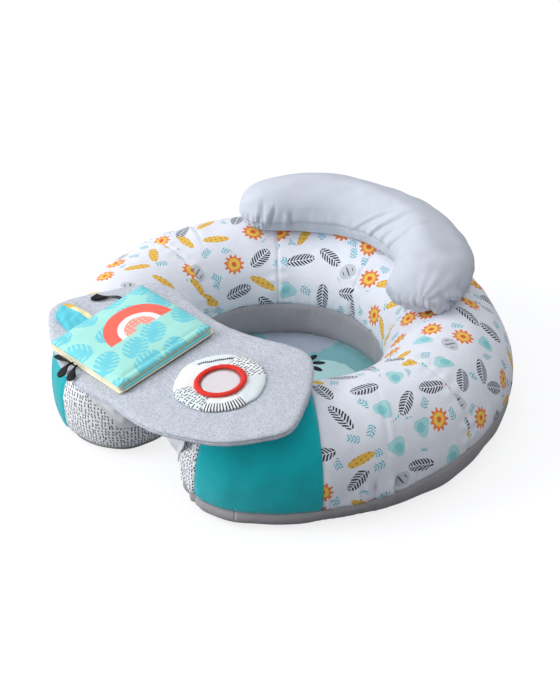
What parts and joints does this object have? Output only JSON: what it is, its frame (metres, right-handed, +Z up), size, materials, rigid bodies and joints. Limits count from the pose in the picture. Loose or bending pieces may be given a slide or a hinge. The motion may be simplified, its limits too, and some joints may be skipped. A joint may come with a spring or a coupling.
{
  "type": "baby floor seat",
  "caption": "Padded horseshoe floor seat with a sewn seat floor, a kidney back cushion and a padded play tray carrying a cloth book and a mirror.",
  "frame": {"origin": "on the floor, at the centre of the ring", "axes": "+Z up, front with the tray and the gap between the arms towards -Y, back cushion towards +Y"},
  "size_m": [0.6398, 0.6555, 0.2267],
  "materials": {
    "fibre_fill": "polyester fibre filling",
    "foam": "soft foam sheet",
    "print_knit": "printed brushed knit with small motifs on white",
    "teal_plush": "short plain teal plush",
    "dash_knit": "knit printed with short dark dashes",
    "wall_knit": "plain grey knit",
    "base_cloth": "plain grey non-slip cloth",
    "floor_print": "pale teal printed knit",
    "touch_tape": "pale grey hook-and-loop tape",
    "heather_knit": "quilted grey heather knit",
    "cushion_knit": "plain pale grey jersey",
    "zip_cloth": "woven zip tape",
    "zip_plastic": "moulded zip teeth",
    "zip_metal": "die-cast slider",
    "panel_cloth": "pieced printed cloth",
    "mirror_sheet": "flexible plastic mirror",
    "red_binding": "red rolled binding",
    "book_cloth": "printed satin cloth",
    "page_cloth": "cream cloth",
    "black_ribbon": "black satin ribbon",
    "crackle_cloth": "printed crackle cloth"
  },
  "bodies": {
    "seat": {"filling_back": "fibre_fill", "filling_right": "fibre_fill", "filling_left": "fibre_fill", "cover_print": "print_knit", "cover_arm_right": "teal_plush", "cover_arm_left": "teal_plush", "cover_end_right": "dash_knit", "cover_end_left": "dash_knit", "inner_wall": "wall_knit", "base_panel": "base_cloth", "floor_cover": "floor_print", "floor_foam": "foam", "floor_under": "base_cloth", "loop_tray_right": "touch_tape", "loop_tray_left": "touch_tape", "loop_back_right": "touch_tape", "loop_back_left": "touch_tape", "zip_tape": "zip_cloth", "zip_teeth": "zip_plastic"},
    "zip_slide": {"zip_slider": "zip_metal"},
    "zip_tag": {"zip_pull": "zip_metal"},
    "tray": {"tray_top_cover": "heather_knit", "tray_side_band": "heather_knit", "tray_bottom_cover": "heather_knit", "tray_foam": "foam", "hook_tray_right": "touch_tape", "hook_tray_left": "touch_tape", "tab_right": "touch_tape", "tab_left": "touch_tape", "disc_pad": "panel_cloth", "mirror_film": "mirror_sheet", "mirror_rim": "red_binding", "book_back_cover": "book_cloth", "book_spine": "book_cloth", "book_tags": "black_ribbon", "book_ribbon": "black_ribbon", "book_flap": "crackle_cloth"},
    "book_cover": {"book_front_cover": "book_cloth"},
    "page_upper": {"book_page_upper": "page_cloth"},
    "page_lower": {"book_page_lower": "page_cloth"},
    "cushion": {"cushion_cover": "cushion_knit", "cushion_filling": "fibre_fill", "hook_back_right": "touch_tape", "hook_back_left": "touch_tape"}
  },
  "joints": [
    {"name": "tray_lift", "type": "slide", "parent": "seat", "child": "tray", "axis": [0, 0, 1], "range_m": [0, 0.1]},
    {"name": "cushion_lift", "type": "slide", "parent": "seat", "child": "cushion", "axis": [0, 0, 1], "range_m": [0, 0.1]},
    {"name": "cover_turn", "type": "hinge", "parent": "tray", "child": "book_cover", "pos_m": [0.01222, -0.2362, 0.17125], "axis": [0.0872, 0.9839, 0.1558], "range_deg": [0, 150]},
    {"name": "page_upper_turn", "type": "hinge", "parent": "tray", "child": "page_upper", "pos_m": [0.01222, -0.2362, 0.17125], "axis": [0.0872, 0.9839, 0.1558], "range_deg": [0, 100]},
    {"name": "page_lower_turn", "type": "hinge", "parent": "tray", "child": "page_lower", "pos_m": [0.01222, -0.2362, 0.17125], "axis": [0.0872, 0.9839, 0.1558], "range_deg": [0, 50]},
    {"name": "zip_travel", "type": "hinge", "parent": "seat", "child": "zip_slide", "pos_m": [0, 0, 0.022], "axis": [0, 0, 1], "range_deg": [-48, 0]},
    {"name": "zip_tag_swing", "type": "hinge", "parent": "zip_slide", "child": "zip_tag", "pos_m": [-0.1325, 0.29759, 0.0237], "axis": [-0.9135, -0.4067, 0], "range_deg": [-80, 0]}
  ],
  "couplings": [
    {"joint": "page_upper_turn", "follows": "cover_turn", "ratio": 0.66},
    {"joint": "page_lower_turn", "follows": "cover_turn", "ratio": 0.33}
  ]
}
